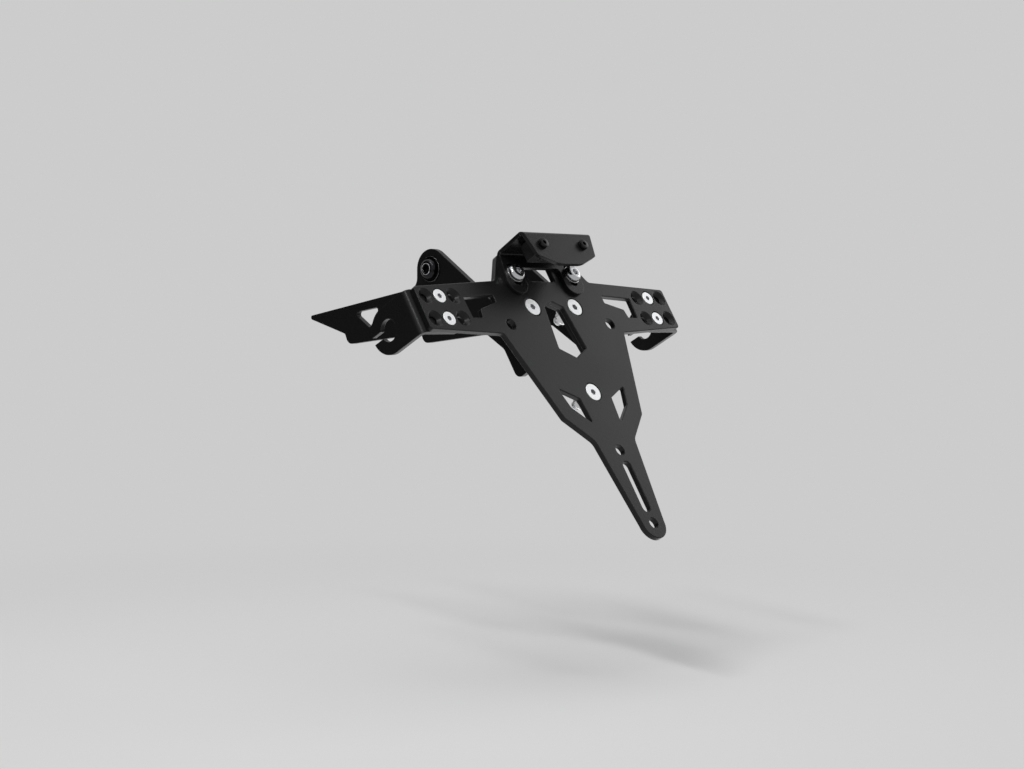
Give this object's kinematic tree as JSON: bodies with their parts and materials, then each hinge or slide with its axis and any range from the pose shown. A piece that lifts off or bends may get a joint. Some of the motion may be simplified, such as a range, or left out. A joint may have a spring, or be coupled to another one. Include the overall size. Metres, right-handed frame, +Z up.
{
  "type": "motorbike tail tidy",
  "caption": "Folded bracket and cut sheet plate that carry a motorbike's number plate, indicators and plate lamp behind the tail, with open cut-outs and slotted fixings.",
  "frame": {"origin": "on the axis of the two tail bolts, midway between the bracket's ears", "axes": "+X to the right seen from behind, along the tail bolts; +Y towards the front of the motorbike, the way the bracket's side plates point; +Z up, as the part hangs on the motorbike"},
  "size_m": [0.1936, 0.2243, 0.1514],
  "materials": {
    "carrier_coat": "satin black powder coat on aluminium sheet",
    "bracket_coat": "satin black powder coat on steel sheet",
    "pale_screw": "pale zinc plate",
    "plain_steel": "stainless steel",
    "bright_bolt": "polished stainless steel",
    "black_steel": "black oxide on steel",
    "lamp_plastic": "moulded black ABS",
    "clear_lens": "clear moulded polycarbonate",
    "board": "white solder mask",
    "led": "phosphor in clear resin",
    "brass": "turned brass",
    "rubber": "black rubber"
  },
  "bodies": {
    "root": {"plate_carrier": "carrier_coat", "tail_bracket": "bracket_coat", "indicator_bracket_left": "bracket_coat", "indicator_bracket_right": "bracket_coat", "light_bracket": "bracket_coat", "carrier_screws": "pale_screw", "indicator_screws": "pale_screw", "carrier_washers": "plain_steel", "carrier_nuts": "plain_steel", "indicator_washers": "plain_steel", "indicator_nuts": "plain_steel", "light_bracket_nuts": "plain_steel", "light_bracket_bolts": "bright_bolt", "light_bracket_washers": "bright_bolt", "tail_bolts": "black_steel", "tail_washers": "black_steel", "lamp_screws": "black_steel", "lamp_housing": "lamp_plastic", "lamp_lens": "clear_lens", "lamp_board": "board", "lamp_leds": "led", "lamp_inserts": "brass", "lamp_grommet": "rubber"}
  },
  "joints": []
}
